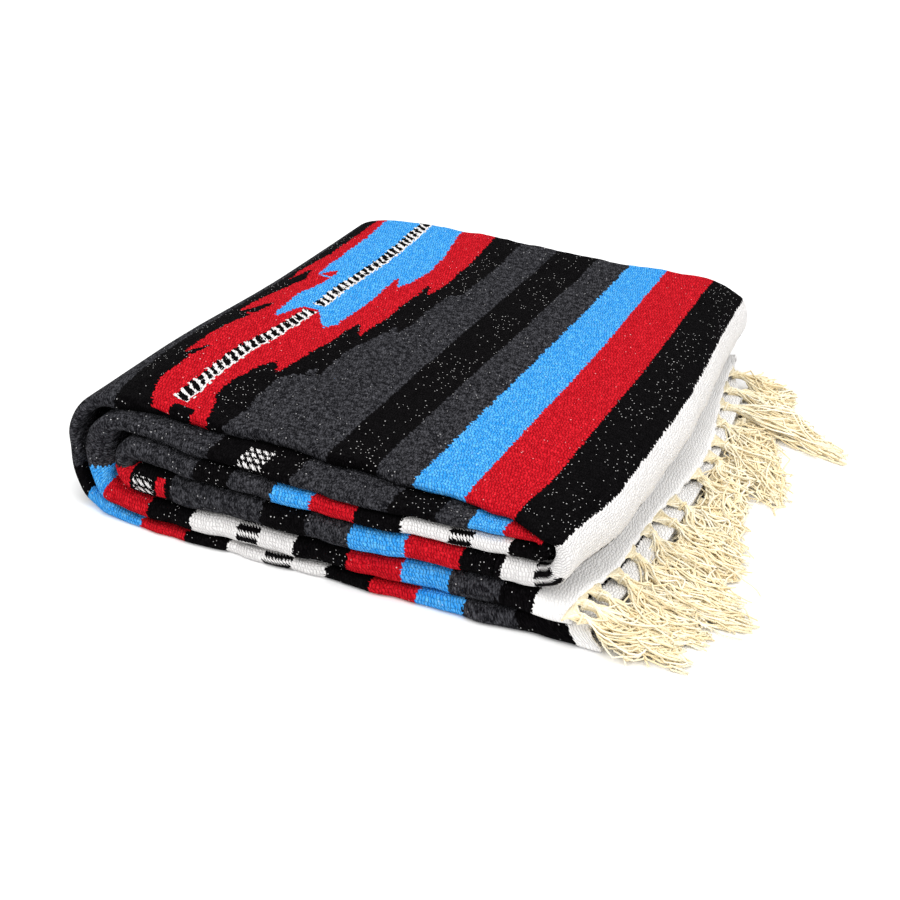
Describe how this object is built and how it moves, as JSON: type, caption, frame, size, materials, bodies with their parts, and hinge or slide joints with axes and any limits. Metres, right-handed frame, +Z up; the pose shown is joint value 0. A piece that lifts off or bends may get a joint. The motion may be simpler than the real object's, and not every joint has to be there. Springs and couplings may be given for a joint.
{
  "type": "folded serape blanket",
  "caption": "Striped handwoven serape blanket folded flat into a thick square bundle, with a rolled white end and loose cotton fringe spilling from one side.",
  "frame": {"origin": "on the underside, below the middle of the folded bundle", "axes": "+X along the blanket's length, from the round folded end to the fringed end; +Y along its stripes, from the folds at the front to the back; +Z up from the surface it lies on"},
  "size_m": [0.418, 0.381, 0.0643],
  "materials": {
    "striped_weave": "soft napped weave in black, charcoal, blue, red and white stripes",
    "white_weave": "soft white weave with fine ribs",
    "fringe_yarn": "loose undyed cotton yarn"
  },
  "bodies": {
    "root": {"outer_wrap": "striped_weave", "hidden_layers": "striped_weave", "end_band": "white_weave", "upper_fringe": "fringe_yarn", "lower_fringe": "fringe_yarn"}
  },
  "joints": []
}
